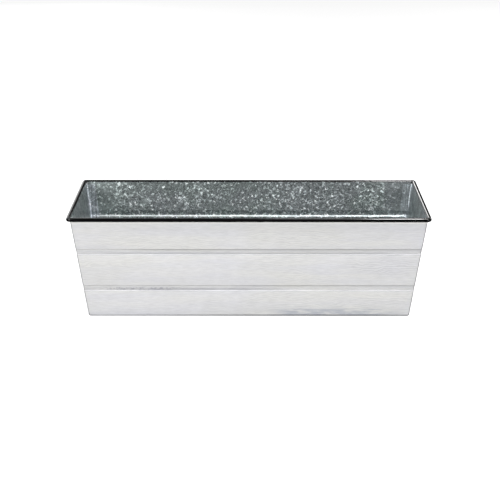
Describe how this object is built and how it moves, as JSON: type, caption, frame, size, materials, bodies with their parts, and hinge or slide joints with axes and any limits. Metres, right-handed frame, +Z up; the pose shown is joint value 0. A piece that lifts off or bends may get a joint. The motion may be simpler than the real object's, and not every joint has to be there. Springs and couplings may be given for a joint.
{
  "type": "window box",
  "caption": "Long tapered sheet-metal window box with horizontal plank grooves, white-washed outside, bare galvanised inside, and a black rolled rim.",
  "frame": {"origin": "on the ground plane, under the middle of the box", "axes": "+X along the length towards the right end, front face towards -Y, +Z up"},
  "size_m": [0.564, 0.209, 0.1735],
  "materials": {
    "painted_steel": "matt white-wash with faint horizontal grain",
    "galvanised_steel": "spangled zinc coating",
    "black_steel": "gloss black",
    "wire_steel": "drawn"
  },
  "bodies": {
    "root": {"front_panel": "painted_steel", "back_panel": "painted_steel", "left_end_panel": "painted_steel", "right_end_panel": "painted_steel", "floor_tray": "galvanised_steel", "rim_front": "black_steel", "rim_back": "black_steel", "rim_left": "black_steel", "rim_right": "black_steel", "rim_wire": "wire_steel"}
  },
  "joints": []
}
